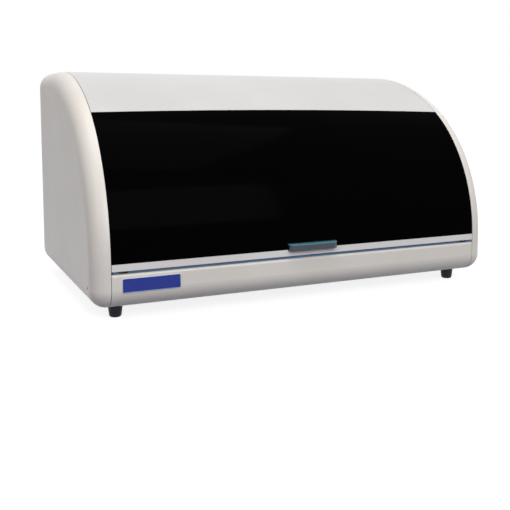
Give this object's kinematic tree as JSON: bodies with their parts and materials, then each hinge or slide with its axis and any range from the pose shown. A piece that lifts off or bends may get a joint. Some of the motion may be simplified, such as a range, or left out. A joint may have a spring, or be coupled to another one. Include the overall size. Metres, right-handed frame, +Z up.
{
  "type": "automated microplate reader",
  "caption": "Bench-top microplate analyser: curved lift-up lid with a black window over a pipetting arm, tube and bottle racks, plate stage and optical reader.",
  "frame": {"origin": "on the bench, under the middle of the bounding box", "axes": "+X to the right along the instrument's width, +Y from the front to the back, +Z up"},
  "size_m": [0.86, 0.558, 0.4565],
  "materials": {
    "shell_grey": "fine moulded texture",
    "lid_pale": "satin paint",
    "window_black": "black tinted acrylic",
    "rail_grey": "satin",
    "handle_tint": "polished, blue-grey tint",
    "rubber_black": "matte",
    "name_blue": "satin foil, blank",
    "sheet_white": "powder coat",
    "alloy": "anodised",
    "steel": "ground",
    "motor_black": "black",
    "rack_blue": "moulded",
    "wash_white": "natural acetal",
    "instrument_dark": "fine texture",
    "optics_black": "black",
    "barrel_glass": "clear",
    "plunger_metal": "turned",
    "board_green": "solder mask"
  },
  "bodies": {
    "cabinet": {"base_tray": "shell_grey", "left_cheek": "shell_grey", "right_cheek": "shell_grey", "rear_cover": "shell_grey", "front_left_foot": "rubber_black", "front_right_foot": "rubber_black", "rear_left_foot": "rubber_black", "rear_right_foot": "rubber_black", "lid_bumpers": "rubber_black", "x_belt": "rubber_black", "nameplate": "name_blue", "deck_plate": "sheet_white", "bulkhead": "sheet_white", "left_side_plate": "sheet_white", "right_side_plate": "sheet_white", "x_beam": "alloy", "stage_brackets": "alloy", "x_rail": "steel", "stage_rails": "steel", "hinge_pins": "steel", "idler_post": "steel", "foot_screws": "steel", "case_screws": "steel", "data_port": "steel", "fan_guard": "steel", "power_supply": "steel", "x_motor": "motor_black", "sample_rack": "rack_blue", "reagent_rack": "rack_blue", "wash_station": "wash_white", "fluid_ports": "wash_white", "reader_housing": "instrument_dark", "syringe_pump": "instrument_dark", "reader_optics": "optics_black", "power_inlet": "optics_black", "switch_frame": "optics_black", "fan_frame": "optics_black", "syringe_barrel": "barrel_glass", "main_board": "board_green"},
    "lid": {"lid_band": "lid_pale", "window_panel": "window_black", "lower_rail": "rail_grey", "lid_handle": "handle_tint", "left_lid_frame": "alloy", "right_lid_frame": "alloy", "lid_screws": "steel"},
    "x_carriage": {"x_carriage": "alloy", "y_arm": "alloy", "y_motor": "motor_black"},
    "head": {"head_block": "alloy", "z_motor": "motor_black"},
    "probe": {"z_rack": "steel", "probe_needle": "steel"},
    "z_pinion": {"z_pinion": "steel"},
    "x_drive_pulley": {"x_drive_pulley": "alloy"},
    "x_idler_pulley": {"x_idler_pulley": "alloy"},
    "plate_stage": {"plate_carrier": "alloy"},
    "syringe_plunger": {"syringe_plunger": "plunger_metal"},
    "power_rocker": {"power_rocker": "optics_black"},
    "fan_rotor": {"fan_rotor": "optics_black"}
  },
  "joints": [
    {"name": "lid_hinge", "type": "hinge", "parent": "cabinet", "child": "lid", "pos_m": [0, 0.15304, 0.44251], "axis": [-1, 0, 0], "range_deg": [0, 75]},
    {"name": "arm_x", "type": "slide", "parent": "cabinet", "child": "x_carriage", "axis": [1, 0, 0], "range_m": [0, 0.502]},
    {"name": "drive_pulley_spin", "type": "hinge", "parent": "cabinet", "child": "x_drive_pulley", "pos_m": [0.35, 0.158, 0.342], "axis": [0, 0, 1], "range_deg": [0, 3320]},
    {"name": "idler_pulley_spin", "type": "hinge", "parent": "cabinet", "child": "x_idler_pulley", "pos_m": [-0.366, 0.158, 0.342], "axis": [0, 0, 1], "range_deg": [0, 3320]},
    {"name": "arm_y", "type": "slide", "parent": "x_carriage", "child": "head", "axis": [0, -1, 0], "range_m": [0, 0.2205]},
    {"name": "probe_z", "type": "slide", "parent": "head", "child": "probe", "axis": [0, 0, -1], "range_m": [0, 0.075]},
    {"name": "pinion_spin", "type": "hinge", "parent": "head", "child": "z_pinion", "pos_m": [-0.353, 0.0835, 0.262], "axis": [0, 1, 0], "range_deg": [0, 540]},
    {"name": "plate_travel", "type": "slide", "parent": "cabinet", "child": "plate_stage", "axis": [1, 0, 0], "range_m": [0, 0.17]},
    {"name": "plunger_travel", "type": "slide", "parent": "cabinet", "child": "syringe_plunger", "axis": [0, 0, -1], "range_m": [0, 0.055]},
    {"name": "power_switch", "type": "hinge", "parent": "cabinet", "child": "power_rocker", "pos_m": [0.25, 0.267, 0.136], "axis": [-1, 0, 0], "range_deg": [0, 16]},
    {"name": "fan_spin", "type": "hinge", "parent": "cabinet", "child": "fan_rotor", "pos_m": [-0.25, 0.255, 0.326], "axis": [0, 1, 0], "continuous": true}
  ],
  "couplings": [
    {"joint": "drive_pulley_spin", "follows": "arm_x", "rad_per_m": 114.94},
    {"joint": "idler_pulley_spin", "follows": "arm_x", "rad_per_m": 114.94},
    {"joint": "pinion_spin", "follows": "probe_z", "rad_per_m": 125}
  ]
}
